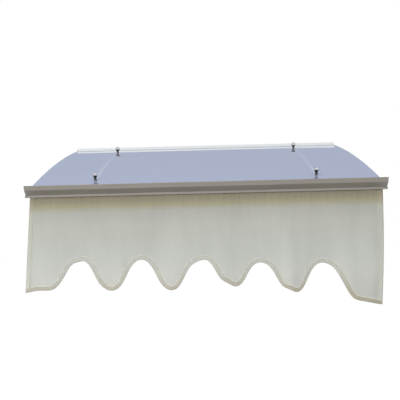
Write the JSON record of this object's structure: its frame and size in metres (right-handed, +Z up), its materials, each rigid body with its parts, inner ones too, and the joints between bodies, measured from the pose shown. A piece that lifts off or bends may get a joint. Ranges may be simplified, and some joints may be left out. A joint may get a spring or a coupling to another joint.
{
  "type": "door canopy",
  "caption": "Arched tinted polycarbonate door canopy on cast wall brackets, with a wall rail, a front gutter rail and a scalloped cream fabric valance.",
  "frame": {"origin": "on the wall face of the rear rail, in the middle of its fixing flange and of the canopy's width", "axes": "+X along the wall to the right seen from the front, +Y into the wall, +Z up; the canopy reaches towards -Y"},
  "size_m": [1.208, 0.9997, 0.6248],
  "materials": {
    "tinted_polycarbonate": "glossy, blue-grey, slightly see-through",
    "champagne_aluminium": "satin powder coat",
    "pale_aluminium": "satin",
    "coated_casting": "fine powder coat",
    "stainless": "polished stainless steel",
    "rubber_seal": "matt",
    "cream_fabric": "woven canvas",
    "grey_plastic": "moulded"
  },
  "bodies": {
    "root": {"canopy_sheet": "tinted_polycarbonate", "front_gutter_rail": "champagne_aluminium", "rear_wall_rail": "pale_aluminium", "wall_seal_strip": "rubber_seal", "bracket_left": "coated_casting", "arm_gasket_left": "rubber_seal", "rail_end_plug_left": "grey_plastic", "bracket_right": "coated_casting", "arm_gasket_right": "rubber_seal", "rail_end_plug_right": "grey_plastic", "clamp_bolt_front_left": "stainless", "flare_collar_front_left": "rubber_seal", "top_washer_front_left": "stainless", "seal_washer_front_left": "rubber_seal", "lower_washer_front_left": "stainless", "clamp_nut_front_left": "stainless", "clamp_bolt_front_right": "stainless", "flare_collar_front_right": "rubber_seal", "top_washer_front_right": "stainless", "seal_washer_front_right": "rubber_seal", "lower_washer_front_right": "stainless", "clamp_nut_front_right": "stainless", "clamp_bolt_rear_left": "stainless", "flare_collar_rear_left": "rubber_seal", "top_washer_rear_left": "stainless", "seal_washer_rear_left": "rubber_seal", "lower_washer_rear_left": "stainless", "clamp_nut_rear_left": "stainless", "clamp_bolt_rear_right": "stainless", "flare_collar_rear_right": "rubber_seal", "top_washer_rear_right": "stainless", "seal_washer_rear_right": "rubber_seal", "lower_washer_rear_right": "stainless", "clamp_nut_rear_right": "stainless", "valance": "cream_fabric", "valance_keder": "grey_plastic"}
  },
  "joints": []
}
